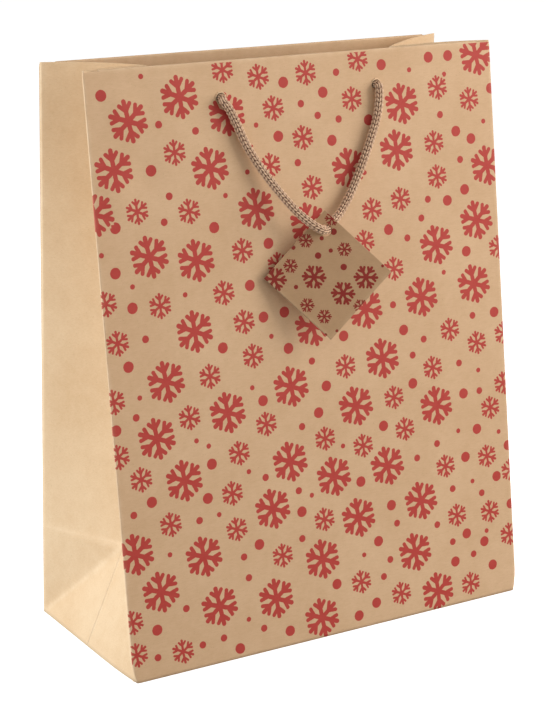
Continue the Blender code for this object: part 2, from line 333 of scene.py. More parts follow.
# Grey board: fine pulp with slow clouds in it
def boardMaterial():
    material, surface, paint = newMaterial("greyBoard", **{"Specular IOR Level": 0.25})
    place = paint.node("TexCoord", {}, {}, 3)
    pulp = noise(place, boardLook["grain"], 4.0, 0.65)
    cloud = noise(place, boardLook["cloudGrain"], 2.0)
    colour = (pulp * 0.8 + cloud * 0.5 - 0.15).clamp().mix(boardLook["deep"], boardLook["pale"])
    relief = paint.node("Bump", {}, {"Strength": 0.5, "Distance": boardLook["relief"],
                                     "Height": pulp})
    feed(surface, paint, Base_Color=colour, Roughness=boardLook["roughness"] + pulp * 0.15,
         Normal=relief)
    return material


# hollow: painted shade for the hollows between the stitches
cordLook = {"paintedHollowShade": tone(104, 56, 34), "yarn": tone(208, 166, 130), "pale": tone(242, 212, 180),
            "hairGrain": 2200, "cloudGrain": 90, "relief": 0.06 * mm, "roughness": 0.62,
            "sheen": 0.12}


# Knitted yarn: its height comes from the mesh, and the hollows between stitches get painted shade,
# darker the deeper they lie
def cordMaterial():
    material, surface, paint = newMaterial(
        "paperYarn",
        **{"Specular IOR Level": 0.35, "Sheen Weight": cordLook["sheen"], "Sheen Roughness": 0.5})
    place = paint.node("TexCoord", {}, {}, 3)
    ridge = paint.node("Attribute", {"attribute_name": "ridge"}, {}, 2)
    hairs = noise(place, cordLook["hairGrain"], 2.0, 0.6)
    cloud = noise(place, cordLook["cloudGrain"], 2.0)
    yarn = (hairs * 0.7 + cloud * 0.6 - 0.15).clamp().mix(cordLook["yarn"], cordLook["pale"])
    # painted shade: the lower a point lies between the stitches, the more of the dark shade colour it
    # takes
    unshadedShare = ((ridge - 0.24) * 2.2 + (hairs - 0.5) * 0.4).clamp()
    colour = unshadedShare.mix(cordLook["paintedHollowShade"], yarn)
    relief = paint.node("Bump", {}, {"Strength": 0.4, "Distance": cordLook["relief"],
                                     "Height": hairs})
    feed(surface, paint, Base_Color=colour, Roughness=cordLook["roughness"] + hairs * 0.25,
         Normal=relief)
    return material


plainKraft = paperMaterial("kraftPaper", "plain")
printedKraft = paperMaterial("printedKraftPaper", "printed", "ink")
# the tag's paper and ink tones carry painted shade
shadedPrintedCard = paperMaterial("shadedPrintedTagCard", "card", "shadedCardInk")
greyBoard = boardMaterial()
paperYarn = cordMaterial()
print("materials made")

# the two handles, each one knitted cord from knot to knot
cord = {
    "diameter": 5 * mm,
    "columns": 5,            # stitches round the cord
    "stitch": 2.5 * mm,
    "relief": 0.85 * mm,
    "vee": 0.55,             # how steeply each pair of legs spreads, in stitches
    "sideSharp": 0.45,       # powers under one give full stitches with narrow hollows
    "legSharp": 0.5,
    "around": 90,
    "step": 0.32 * mm,
    "spanSteps": 24,
    "pathEvery": 6,
    "pinch": 0.16,           # the cord is squeezed in its hole
    "pinchReach": 6 * mm,
    "knotSize": 1.32 * mm,
    "knotDepth": 1.5,
    "knotCord": 4.3 * mm,
    "knotSteps": 150,
    "knotBehind": 4.6 * mm,  # from the hem to the knot's middle
    "bendStart": 2 * mm,
    "bendEnd": 15 * mm,
    "frontLength": 198 * mm,
    "backLength": 194 * mm,
}
hole = {"across": 48, "down": 19, "radius": 2.8 * mm, "sides": 40, "cut": (-3 * mm, 6 * mm)}
# each route: across, down from the mouth fold, and clear of the paper, in millimetres
frontRoute = (
    (-45.0, 25.0, 0.3), (-41.6, 32.0, 0.3), (-37.0, 43.5, 0.5), (-30.6, 55.2, 1.5), (-22.4, 68.3, 4.0),
    (-14.4, 79.8, 7.4), (-9.3, 85.7, 9.8), (-4.8, 89.7, 11.3), (-0.6, 92.2, 11.1), (3.4, 93.0, 8.7),
    (7.2, 92.3, 6.0), (13.0, 88.9, 3.1), (19.6, 83.3, 1.3), (26.6, 74.2, 0.4), (33.4, 62.3, 0.3),
    (40.0, 49.0, 0.3), (45.0, 37.6, 0.3), (47.5, 27.8, 0.3),
)
backRoute = (
    (-47.6, 29.0, 0.3), (-45.0, 40.0, 0.4), (-40.0, 52.0, 0.8), (-33.0, 64.0, 1.1), (-24.0, 76.0, 1.1),
    (-13.0, 85.5, 0.9), (-1.0, 89.5, 0.7), (11.0, 87.0, 0.5), (22.5, 78.5, 0.4), (31.5, 67.0, 0.3),
    (38.5, 54.0, 0.3), (43.8, 41.0, 0.3), (47.2, 29.5, 0.3),
)
throughHole = ((19.0, -6.4), (19.0, -3.4), (19.3, -1.1), (21.0, 0.25))  # down, and clear of the paper


# A smooth curve through the points, by Catmull and Rom's cubic on each span, then read at even steps
def smoothLine(points, step):
    points = np.asarray(points, float)
    padded = np.concatenate([[2 * points[0] - points[1]], points, [2 * points[-1] - points[-2]]])
    a, b, c, d = (padded[i:len(padded) - 3 + i, None, :] for i in range(4))
    t = np.linspace(0, 1, cord["spanSteps"], endpoint=False)[None, :, None]
    curve = 0.5 * (2 * b + (c - a) * t + (2 * a - 5 * b + 4 * c - d) * t ** 2
                   + (3 * b - a - 3 * c + d) * t ** 3)
    curve = np.concatenate([curve.reshape(-1, 3), points[-1:]])
    travel = np.concatenate([[0], np.cumsum(np.linalg.norm(np.diff(curve, axis=0), axis=1))])
    even = np.linspace(0, travel[-1], max(2, round(travel[-1] / step)))
    return np.stack([np.interp(even, travel, curve[:, i]) for i in range(3)], axis=1)


# A knitted tube carried along a line. Round it run columns of stitches, and each stitch is a pair
# of legs: height = |sin(two turns over a column)| times |sin(half a turn over a leg)|, where the
# legs climb away from their column's middle. The radius is the cord's less the relief's missing share.
def knittedTube(name, line, firstSide, diameter, closed=False, squeeze=None):
    travel = np.concatenate([[0], np.cumsum(np.linalg.norm(np.diff(line, axis=0), axis=1))])
    tangent = np.gradient(line, axis=0)
    if closed:
        tangent = np.roll(line, -1, axis=0) - np.roll(line, 1, axis=0)
    tangent = unit(tangent)
    firstSide = unit(firstSide - (firstSide * tangent).sum(1, keepdims=True) * tangent)
    secondSide = np.cross(tangent, firstSide)
    turn = np.linspace(0, 2 * math.pi, cord["around"], endpoint=False)
    column = (turn / (2 * math.pi) * cord["columns"]) % 1 - 0.5
    leg = travel[:, None] / cord["stitch"] - np.abs(column)[None, :] * cord["vee"] * 2
    ridge = (np.abs(np.sin(2 * math.pi * column))[None, :] ** cord["sideSharp"]
             * np.abs(np.sin(math.pi * leg)) ** cord["legSharp"])
    radius = diameter / 2 - cord["relief"] * (1 - ridge)
    if squeeze is not None:
        radius = radius * (1 - squeeze[:, None])
    ring = (np.cos(turn)[None, :, None] * firstSide[:, None, :]
            + np.sin(turn)[None, :, None] * secondSide[:, None, :])
    points = line[:, None, :] + radius[..., None] * ring
    rows, cols = radius.shape
    number = np.arange(rows * cols).reshape(rows, cols)
    nextRow = np.roll(number, -1, axis=0) if closed else number[1:]
    thisRow = number if closed else number[:-1]
    faces = np.stack([thisRow, np.roll(thisRow, -1, axis=1), np.roll(nextRow, -1, axis=1), nextRow], -1)
    faces = faces.reshape(-1, 4).tolist()
    if not closed:
        faces += [number[0, ::-1].tolist(), number[-1].tolist()]
    piece = newObject(name, points, faces)
    mark = piece.data.attributes.new("ridge", "FLOAT", "POINT")
    mark.data.foreach_set("value", ridge.ravel().astype(np.float32))
    dress(piece, paperYarn)
    return piece


# the cord's middle, from inside one hole, round the route and back through the other
def cordLine(route, back):
    start = [(-hole["across"], down, clear) for down, clear in throughHole]
    finish = [(hole["across"], down, clear) for down, clear in reversed(throughHole)]
    places = np.array([*start, *route, *finish]) * mm
    outward = places[:, 2] + (cord["diameter"] + bag["paper"]) / 2
    world = toWorld(places[:, 0], -outward, bag["panelLength"] - places[:, 1], back)
    return smoothLine(world, cord["step"])


# A handle's tube is squeezed at both ends by pinch * exp(-(distance / pinchReach)^2). There the
# cord runs along the outward direction, so its sides are set out from upward instead.
def makeHandle(name, route, back, cadNode):
    line = cordLine(route, back)
    travel = np.arange(len(line)) * cord["step"]
    fromEnd = np.minimum(travel, travel[::-1])
    outward = toWorld(0, -1, 0, back) - toWorld(0, 0, 0, back)
    upward = toWorld(0, 0, 1, back) - toWorld(0, 0, 0, back)
    atHole = np.exp(-(fromEnd / cord["pinchReach"]) ** 2)
    piece = knittedTube(name, line, outward + 2 * atHole[:, None] * upward, cord["diameter"],
                        squeeze=cord["pinch"] * atHole)
    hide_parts(cadNode)
    holeUp = bag["panelLength"] - hole["down"] * mm
    start, end = (toWorld(0, 0, holeUp - cord[key], back) for key in ("bendStart", "bendEnd"))
    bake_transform(piece)
    return piece, line


# An overhand knot: a trefoil, x = sin t + 2 sin 2t, y = cos t - 2 cos 2t, z = -sin 3t, pulled small
def makeKnot(name, back, body, cadNode):
    low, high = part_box(cadNode)
    knotMiddle = np.array((low + high) / 2)
    side = 1 if back else -1
    knotMiddle[1] = low.y + cord["knotBehind"] if back else high.y - cord["knotBehind"]
    t = np.linspace(0, 2 * math.pi, cord["knotSteps"], endpoint=False)
    x, y, z = (np.sin(t) + 2 * np.sin(2 * t), np.cos(t) - 2 * np.cos(2 * t), -np.sin(3 * t))
    line = np.stack([x, z * side * cord["knotDepth"], y], axis=1) * cord["knotSize"] + knotMiddle
    bend = np.roll(line, -1, axis=0) - 2 * line + np.roll(line, 1, axis=0)
    piece = knittedTube(name, line, bend, cord["knotCord"], closed=True)
    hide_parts(cadNode)
    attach(piece, body)
    return piece


frontCord, frontLine = makeHandle("front_cord", frontRoute, False,
                                  "front_handle_cord")
backCord, backLine = makeHandle("back_cord", backRoute, True,
                                "back_handle_cord")
knots = {name: makeKnot(name.replace("_knot", "_overhand_knot"), name.startswith("back"),
                        name.split("_")[0] + "_panel", name)
         for name in ("front_left_knot", "front_right_knot", "back_left_knot", "back_right_knot")}
for label, line in (("front", frontLine), ("back", backLine)):
    print(label, "cord is", round(1000 * np.linalg.norm(np.diff(line, axis=0), axis=1).sum(), 1), "mm")


# A thick sheet from a grid of middle points: each side lies half a thickness along the normal,
# which is the cross product of the grid's two directions, and strips of edge close it all round.
# joined: the last column meets the first. mirrorEnd: the last column lies in the plane y = 0.
def thickSheet(name, middle, thickness, joined=False, mirrorEnd=False):
    rows, cols = middle.shape[:2]
    downGrid = np.gradient(middle, axis=0)
    acrossGrid = np.gradient(middle, axis=1)
    if joined:
        acrossGrid = np.roll(middle, -1, axis=1) - np.roll(middle, 1, axis=1)
    normal = np.cross(downGrid, acrossGrid)
    if mirrorEnd:
        normal[:, -1, 1] = 0
    normal = unit(normal)
    top = np.arange(rows * cols).reshape(rows, cols)
    if joined:
        top = np.concatenate([top, top[:, :1]], axis=1)
    under = top + rows * cols
    lift = normal * thickness / 2
    points = np.concatenate([(middle + lift).reshape(-1, 3), (middle - lift).reshape(-1, 3)])

    def quads(grid):
        return np.stack([grid[:-1, :-1], grid[1:, :-1], grid[1:, 1:], grid[:-1, 1:]], -1).reshape(-1, 4)

    def strip(first, second):
        return np.stack([first[:-1], first[1:], second[1:], second[:-1]], -1)

    faces = [quads(top), quads(under)[:, ::-1], strip(top[0], under[0]),
             strip(under[-1], top[-1])]
    if not joined:
        faces += [strip(under[:, 0], top[:, 0]), strip(top[:, -1], under[:, -1])]
    faces = np.concatenate(faces)
    return newObject(name, points, faces.tolist()), faces


# heights up the paper, and distances inward: up the sheet, half a circle over the top, down the hem
def hemmedProfile(length, hem, offset, cell):
    radius = offset / 2
    up = np.linspace(0, length - radius, round(length / cell))
    over = np.linspace(0, math.pi, bag["hemTurnSteps"] + 1)[1:-1]
    down = np.linspace(length - radius, length - hem, round(hem / (bag["hemCellRatio"] * cell)))
    heights = np.concatenate([up, length - radius + radius * np.sin(over), down])
    inward = np.concatenate([up * 0, radius * (1 - np.cos(over)), down * 0 + offset])
    return heights, inward


# how far the foot's corners are drawn in: footPinch * (1 - height / footHeight)^2
def footDraw(heights):
    return bag["footPinch"] * np.clip(1 - heights / bag["footHeight"], 0, 1) ** 2


# writes how pale each point is painted, part wear and part painted highlight, the same on both faces of
# a thick sheet
def markFold(piece, values):
    mark = piece.data.attributes.new("fold", "FLOAT", "POINT")
    mark.data.foreach_set("value", np.concatenate([values.ravel()] * 2).astype(np.float32))


# places of the snowflakes and dots: across from the middle, down from the mouth fold, in millimetres
motifs = {
    "largeFlake": {"radius": 11.4, "stroke": 0.114, "turn": (4, 12), "at": (
        (114, 7), (-73, 16), (-103, 26), (-46, 27), (63, 30), (-113, 50), (-58, 54), (58, 55), (27, 62),
        (118, 69), (-126, 71), (-32, 78), (-1, 89), (-97, 96), (109, 99), (-70, 101), (81, 110),
        (105, 135), (-74, 138), (69, 138), (32, 140), (-2, 145), (-93, 162), (41, 169), (-18, 176),
        (-58, 184), (-101, 191), (22, 193), (75, 201), (-87, 216), (-22, 217), (5, 230), (40, 230),
        (-35, 241), (-119, 250), (61, 254), (19, 256), (-79, 259), (-106, 273), (-6, 275), (55, 283),
        (-72, 288), (-37, 291), (-9, 308), (69, 309), (11, 112))},
    "smallFlake": {"radius": 6.9, "stroke": 0.104, "turn": (2, 9), "at": (
        (-47, 4), (36, 4), (-26, 9), (3, 9), (87, 23), (31, 25), (-18, 26), (108, 31), (-1, 43),
        (-78, 44), (83, 53), (-22, 56), (3, 70), (-102, 72), (84, 72), (-72, 75), (59, 82), (40, 86),
        (-42, 99), (34, 103), (-21, 109), (123, 116), (-124, 117), (-55, 120), (52, 120), (-93, 122),
        (-44, 137), (-119, 138), (-40, 156), (87, 159), (-67, 163), (124, 166), (-124, 168), (105, 169),
        (17, 170), (74, 179), (-81, 183), (47, 192), (-35, 194), (122, 195), (-124, 197), (-53, 207),
        (1, 208), (112, 208), (-112, 211), (53, 211), (25, 216), (-59, 228), (108, 236), (79, 237),
        (-97, 238), (124, 247), (-58, 248), (-3, 253), (85, 267), (-31, 268), (108, 269), (121, 285),
        (-124, 286), (18, 293), (-123, 304), (44, 305), (-96, 308), (92, 309), (-8, 122),
        (28, 121))},
    "bigDot": {"radius": 3.0, "stroke": 1, "turn": (0, 0), "at": (
        (82, 6), (95, 6), (51, 8), (-117, 12), (-11, 13), (13, 20), (123, 26), (41, 37), (-16, 41),
        (17, 46), (98, 48), (-92, 52), (108, 53), (-115, 79), (102, 81), (-58, 85), (90, 86),
        (-26, 97), (50, 98), (-117, 102), (101, 116), (-39, 118), (-109, 121), (-19, 135), (-32, 136),
        (-58, 149), (-114, 151), (17, 153), (118, 153), (-18, 155), (56, 155), (4, 179), (-36, 181),
        (-124, 183), (60, 186), (-2, 193), (94, 197), (39, 207), (-70, 210), (102, 219), (-107, 224),
        (-74, 228), (123, 232), (93, 234), (22, 236), (-17, 246), (114, 249), (41, 253), (-45, 259),
        (123, 267), (31, 272), (91, 279), (103, 286), (2, 291), (-110, 293), (82, 294), (108, 301),
        (27, 307), (-30, 311), (15, 312), (-62, 314), (27, 107), (10, 135))},
    "middleDot": {"radius": 2.0, "stroke": 1, "turn": (0, 0), "at": (
        (22, 10), (-1, 25), (-86, 29), (9, 32), (-65, 34), (22, 35), (88, 38), (-5, 56), (100, 64),
        (-83, 66), (-87, 79), (77, 84), (72, 94), (62, 104), (-103, 138), (50, 140), (103, 153),
        (69, 162), (-4, 164), (61, 170), (-112, 178), (92, 179), (105, 197), (-13, 199), (-38, 223),
        (74, 223), (-118, 229), (60, 229), (-18, 234), (-80, 239), (83, 251), (103, 257), (-18, 261),
        (-55, 264), (44, 264), (71, 270), (-53, 276), (81, 282), (38, 284), (-92, 285), (95, 292),
        (33, 293), (-71, 306), (-46, 306), (-84, 307), (-111, 308), (-5, 106), (19, 131))},
    "smallDot": {"radius": 1.4, "stroke": 1, "turn": (0, 0), "at": (
        (-94, 4), (69, 12), (92, 16), (-29, 34), (117, 44), (-33, 45), (-36, 58), (-50, 69),
        (-124, 92), (-108, 110), (-78, 118), (85, 126), (-28, 147), (-109, 168), (-42, 173),
        (105, 185), (-78, 196), (-71, 200), (12, 214), (-48, 218), (89, 218), (117, 223), (-68, 238),
        (-10, 238), (97, 249), (-99, 254), (21, 278), (105, 280), (-55, 299), (-16, 114))},
}
# the same on the tag, from its middle: right, up
tagPrint = {
    "largeFlake": ((-7.5, -0.6), (20.6, -2.2), (7.8, -10.2), (-29, -0.7)),
    "smallFlake": ((-11, 19), (9.7, 13.3), (-20, 6), (-12, -15.4), (-3, -22), (3.7, 30), (17, -17.6)),
    "bigDot": ((4.3, 23), (-4.8, 10.7), (8.8, 3.9)),
    "middleDot": ((-2.4, 19.8), (2.2, 13), (-18, 15.6), (-17.6, -5.4)),
    "smallDot": ((30, 3.4), (-2.7, -31.7), (3.4, -30)),
}
tagPrintScale = 0.59
tagPrintTurn = (-26, -22)
printShift = (1.0, 0.7)   # the panel's print sits this far right and low of those places


# middle, radius, stroke and turn of every motif, as arrays
def motifTable(places, shift, scale, turnRange, seed):
    chance = np.random.default_rng(seed)
    rows = []
    for kind, motif in motifs.items():
        turns = np.radians(chance.uniform(*(turnRange or motif["turn"]), len(places[kind])))
        rows += [(*place, motif["radius"] * scale, motif["stroke"], turn)
                 for place, turn in zip(places[kind], turns)]
    return np.array(rows) + (*shift, 0, 0, 0)


# Gives each face its nearest motif: the one whose middle less its radius is least far away.
# Its corners then hold their place about that motif's middle, turned, in radii.
def layPrint(piece, faces, flat, table, printedFaces):
    corners = flat[faces] / mm
    middles = corners.mean(axis=1)
    gaps = np.linalg.norm(middles[:, None, :] - table[None, :, :2], axis=2) - table[:, 2]
    nearest = table[gaps.argmin(axis=1)]
    local = corners - nearest[:, None, :2]
    cosTurn, sinTurn = np.cos(nearest[:, 4])[:, None], np.sin(nearest[:, 4])[:, None]
    turned = np.stack([local[..., 0] * cosTurn - local[..., 1] * sinTurn,
                       local[..., 0] * sinTurn + local[..., 1] * cosTurn], -1)
    turned /= nearest[:, None, 2:3]
    facts = np.repeat(nearest[:, None, [3, 2]], 4, axis=1)
    facts[~printedFaces, :, 0] = 0
    for name, values in (("motif", turned), ("motifKind", facts)):
        layer = piece.data.uv_layers.new(name=name)
        layer.uv.foreach_set("vector", values.reshape(-1).astype(np.float32))


# Cuts the two handle holes through a panel with a Boolean, and keeps the cut mesh
def punchHoles(piece, back):
    cutters = []
    for side in (-1, 1):
        turn = np.linspace(0, 2 * math.pi, hole["sides"], endpoint=False)
        across = side * hole["across"] * mm + hole["radius"] * np.cos(turn)
        upPaper = bag["panelLength"] - hole["down"] * mm + hole["radius"] * np.sin(turn)
        rings = [toWorld(across, inward, upPaper, back) for inward in hole["cut"]]
        near = np.arange(hole["sides"])
        far = near + hole["sides"]
        walls = np.stack([near, far, np.roll(far, -1), np.roll(near, -1)], -1)
        faces = walls.tolist() + [near.tolist(), far[::-1].tolist()]
        cutter = newObject("cutter", np.concatenate(rings), faces, smooth=False)
        cut = piece.modifiers.new("hole", "BOOLEAN")
        cut.operation, cut.object, cut.solver = "DIFFERENCE", cutter, "EXACT"
        cutters.append(cutter)
    bpy.context.view_layer.update()
    whole = bpy.data.meshes.new_from_object(
        piece.evaluated_get(bpy.context.evaluated_depsgraph_get()))
    piece.modifiers.clear()
    piece.data = whole
    for cutter in cutters:
        bpy.data.objects.remove(cutter)


# A panel: flat across and up, with each upright edge rounded inward through a quarter circle.
# It sinks in by belly * (1 - u^2) * sin(pi v), with two slow waves over it. Each dent adds
# depth * exp(-(distance / size)^2). Its print is laid on the unbent sheet.
def makePanel(name, back, body, cadNode):
    heights, inward = hemmedProfile(bag["panelLength"], bag["hem"], bag["panelHemOffset"], bag["cell"])
    radius = bag["cornerFold"]
    flatHalf = bag["width"] / 2 - bag["paper"] / 2 - radius
    quarter = np.linspace(0, math.pi / 2, bag["cornerSteps"] + 1)[1:]
    flatPart = np.linspace(-flatHalf, flatHalf, round(2 * flatHalf / bag["cell"]))
    endAcross = flatHalf + radius * np.sin(quarter)
    endInward = radius * (1 - np.cos(quarter))
    across = np.concatenate([-endAcross[::-1], flatPart, endAcross])
    wrap = np.concatenate([endInward[::-1], flatPart * 0, endInward])
    onHem = (inward > 0)[:, None]
    acrossGrid = across[None, :] * np.where(onHem, 1 - bag["hemMargin"], 1)
    if not back:
        acrossGrid = acrossGrid * (1 - footDraw(heights)[:, None] / (bag["width"] / 2))
    u = acrossGrid / (bag["width"] / 2)
    v = heights[:, None] / bag["panelLength"]
    sink = bag["belly"] * (1 - u ** 2) * np.sin(math.pi * v)
    waves = sum(np.sin(byU * u + byV * v + start) for byU, byV, start in bag["waves"])
    sink = sink + bag["wave"] * (1 - u ** 2) * np.sin(math.pi * v) * (waves + bag["waveLift"])
    down = bag["panelLength"] - heights[:, None]
    for x, y, size, depth in bag["dents"]:
        away = ((acrossGrid / mm - x) ** 2 + (down / mm - y) ** 2) / size ** 2
        sink = sink + np.where(onHem, 0, depth * mm * np.exp(-away))
    inwardGrid = inward[:, None] + wrap[None, :] * np.where(onHem, 0, 1) + sink
    middle = toWorld(acrossGrid, inwardGrid, heights[:, None], back)
    piece, faces = thickSheet(name, middle[:, ::-1], bag["paper"])
    printAcross = across[None, ::-1] * (-1 if back else 1)
    flat = np.stack(np.broadcast_arrays(printAcross, down), -1).reshape(-1, 2)
    rows, cols = u.shape
    outer = np.zeros(len(faces), bool)
    outer[:(rows - 1) * (cols - 1)] = np.repeat(inward[1:] == 0, cols - 1)
    places = {kind: motif["at"] for kind, motif in motifs.items()}
    table = motifTable(places, printShift, 1, None, 4)
    layPrint(piece, faces, np.concatenate([flat, flat]), table, outer)
    fromSide = (1 - np.abs(across) / across.max()) * bag["width"] / 2
    # the upright edges and the mouth fold are painted pale: part wear, part painted highlight
    markFold(piece, np.maximum(np.exp(-(fromSide / bag["wearAndHighlightWidth"]) ** 2)[None, ::-1],
                               np.exp(-(down / bag["wearAndHighlightWidth"]) ** 2)))
    punchHoles(piece, back)
    dress(piece, printedKraft)
    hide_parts(cadNode)
    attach(piece, body)
    return piece


makePanel("front_paper", False, "front_panel", "front_panel")
makePanel("back_paper", True, "back_panel", "back_panel")
print("panels folded and printed")

# the side gussets, each two halves folded inward down the middle
gusset = {
    "apexHeight": 54 * mm,      # where the bottom's slanting creases meet the middle one
    "creaseSoft": 1.0 * mm,
    "middleSoft": 1.2 * mm,
    "crossCrease": 0.49 * mm,   # height of the crease across at the apex
    "crossWidth": 1.6 * mm,
    "crossWearAndHighlight": 0.6,           # how pale it is painted, part wear and part painted highlight, against the other creases
    "slantWidth": 1.5714 * mm,  # spreads of the pale lines, part wear and part painted highlight
    "middleWidth": 0.9 * mm,
    "crossWearAndHighlightWidth": 1.2 * mm,
    "edgeWidth": 1.0 * mm,
    "lap": 0.06 * mm,           # the halves lap a little at the middle crease
    "stand": 0.1 * mm,          # the paper stands this far inside the edge's line
    "cell": 2 * mm,
    "columns": 44,
    "bow": 1.1 * mm,            # how far each half bows between its edge and its crease
    "bowFrom": 60 * mm,         # it grows to its full depth over this height above the apex
    "bowWave": 21,              # the bow's slow wave, radians to the metre
    "bend": 26 * mm,            # a length of the gusset
    "slack": 0.07,              # share of the crease's inset lost at the mouth
    "sag": 2.8 * mm,            # drop of the crease at the mouth
}


# the lesser of two, rounded where they cross: (a + b - sqrt((a - b)^2 + width^2)) / 2
def softLess(a, b, width):
    return (a + b - np.sqrt((a - b) ** 2 + width ** 2)) / 2


# Half a gusset, from the panel's upright edge to the middle crease. Above the apex the crease goes
# in by sqrt(half depth squared less the edge's distance squared), so the paper keeps its width, and
# the half is straight between. Below, two planes meet on the slanting crease: the upper one, and
# one that rises from the bottom edge. The inset is the lesser of the two, softly.
def gussetInset(edge, y, up):
    half = bag["depth"] / 2
    apexUp = gusset["apexHeight"]
    apexEdge = half - apexUp * math.tan(lean)
    apexIn = math.sqrt(half ** 2 - apexEdge ** 2)
    creaseIn = np.sqrt(np.maximum(half ** 2 - edge ** 2, 0))
    creaseIn = creaseIn * (1 - gusset["slack"] * smoothStep(up / bag["panelLength"]))
    slope = np.where(up > apexUp, creaseIn / edge, apexIn / apexEdge)
    fromEdge = np.hypot(edge, gusset["middleSoft"]) - np.hypot(y, gusset["middleSoft"])
    upper = slope * fromEdge
    lower = up * apexIn / apexUp
    return np.maximum(softLess(upper, lower, gusset["creaseSoft"]) + gusset["stand"], 0)


# A half gusset is its inset from the edge's line, on a grid from edge to crease and up. To the
# inset come a slow bow, the crease across and the drawn-in foot, and the crease sags at the mouth.
def makeGusset(name, side, rear, cadNode):
    heights, inward = hemmedProfile(bag["panelLength"], bag["hem"], bag["gussetHemOffset"],
                                    gusset["cell"])
    apex = gusset["apexHeight"]
    share = np.linspace(0, 1, gusset["columns"])
    up = heights[:, None] * cosLean
    edge = (bag["depth"] - bag["paper"]) / 2 - up * math.tan(lean) - bag["cornerFold"]
    y = edge * (1 - share) - gusset["lap"] * share
    inset = gussetInset(edge, y, up)
    calm = smoothStep((up - apex) / gusset["bowFrom"]) * np.sin(math.pi * share) ** 2
    inset = inset + gusset["bow"] * calm * (0.6 + 0.4 * np.sin(up * gusset["bowWave"] + 2 * rear))
    across = gusset["crossCrease"] * np.exp(-((up - apex) / gusset["crossWidth"]) ** 2)
    inset = inset - across * np.sin(math.pi * share * 0.5 + 0.2) * (1 - share)
    if not rear:
        inset = inset + footDraw(heights)[:, None] * (1 - share) ** 4
    x = bag["width"] / 2 - bag["paper"] / 2 - inset
    sag = gusset["sag"] * (share * up / bag["panelLength"]) ** 2
    z = hinges["front_panel_fold"].z + up - sag
    surface = np.stack(np.broadcast_arrays(side * x, -y if not rear else y, z), -1)
    normal = np.cross(np.gradient(surface, axis=1), (0, 0, 1))
    normal = normal * np.sign(-side * normal[..., :1])   # towards the inside of the bag
    normal[:, -1, 1] = 0
    middle = surface + unit(normal) * inward[:, None, None]
    piece, faces = thickSheet(name, middle, bag["paper"])
    # the gusset's creases and edge are painted pale: part wear, part painted highlight
    slant = np.exp(-((edge * (1 - up / apex) - y) / gusset["slantWidth"]) ** 2) * (up < apex)
    crease = np.exp(-(y / gusset["middleWidth"]) ** 2)
    cross = gusset["crossWearAndHighlight"] * np.exp(-((up - apex) / gusset["crossWearAndHighlightWidth"]) ** 2) + 0 * y
    atEdge = np.exp(-((edge - y) / gusset["edgeWidth"]) ** 2)
    markFold(piece, np.maximum.reduce([slant, crease, cross, atEdge]))
    dress(piece, plainKraft)
    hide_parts(cadNode)
    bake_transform(piece)
    return piece


for sideName, side in (("left", -1), ("right", 1)):
    makeGusset(sideName + "_gusset_paper_front", side, False,
               sideName + "_gusset_front_half")
    makeGusset(sideName + "_gusset_paper_rear", side, True,
               sideName + "_gusset_rear_half")
print("gussets creased")

# the burr that the punch leaves round each hole
rim = {
    "radius": 2.95 * mm,
    "thin": 0.16 * mm,
    "thick": 0.42 * mm,
    "flat": 0.9,
    "torn": ((0.12, 7), (0.10, 13), (0.06, 29)),   # height and number of each sine's tears
    "segments": 96,
    "around": 10,
}


# The raised burr round a hole: a ring whose thickness grows to the top, torn by a few sine waves
def makeRim(name, side, back, body):
    turn = np.linspace(0, 2 * math.pi, rim["segments"], endpoint=False)[:, None]
    around = np.linspace(0, 2 * math.pi, rim["around"], endpoint=False)[None, :]
    starts = (side, 2, 0)
    torn = sum(height * np.sin(tears * turn + start)
               for (height, tears), start in zip(rim["torn"], starts))
    thick = rim["thin"] + (rim["thick"] - rim["thin"]) * np.clip(np.sin(turn) + torn, 0, 1)
    reach = rim["radius"] + thick * np.cos(around)
    outward = bag["paper"] / 2 + thick * np.sin(around) * rim["flat"]
    across = side * hole["across"] * mm + reach * np.cos(turn)
    upPaper = bag["panelLength"] - hole["down"] * mm + reach * np.sin(turn)
    points = toWorld(across, -outward, upPaper, back)
    number = np.arange(thick.size * rim["around"]).reshape(rim["segments"], rim["around"])
    nextRing = np.roll(number, -1, axis=0)
    faces = np.stack([number, nextRing, np.roll(nextRing, -1, axis=1), np.roll(number, -1, axis=1)], -1)
    piece = newObject(name, points, faces.reshape(-1, 4).tolist())
    # the whole burr is painted pale: part wear, part painted highlight
    mark = piece.data.attributes.new("fold", "FLOAT", "POINT")
    mark.data.foreach_set("value", np.ones(number.size, np.float32))
    dress(piece, plainKraft)
    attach(piece, body)


for sideName, side in (("left", -1), ("right", 1)):
    makeRim("front_" + sideName + "_hole_burr", side, False, "front_panel")
    makeRim("back_" + sideName + "_hole_burr", -side, True, "back_panel")

# the gift tag
tag = {
    "side": 49 * mm,
    "thickness": 0.5 * mm,
    "holeRadius": 3.3 * mm,
    "holeFromMiddle": 24.1 * mm,
    "turn": (-6.0, 2.0, -20.5),   # degrees, about x, then y, then z
    "curl": 0.5 * mm,
    "perSide": 60,
    "rings": 52,
    "wearAndHighlightShare": 1 / 30,          # its edge is painted pale, part wear and part painted highlight, over this share of the way out
}


# about x, then y, then z
def turnBy(degrees):
    x, y, z = (math.radians(d) for d in degrees)
    return Matrix.Rotation(z, 3, "Z") @ Matrix.Rotation(y, 3, "Y") @ Matrix.Rotation(x, 3, "X")


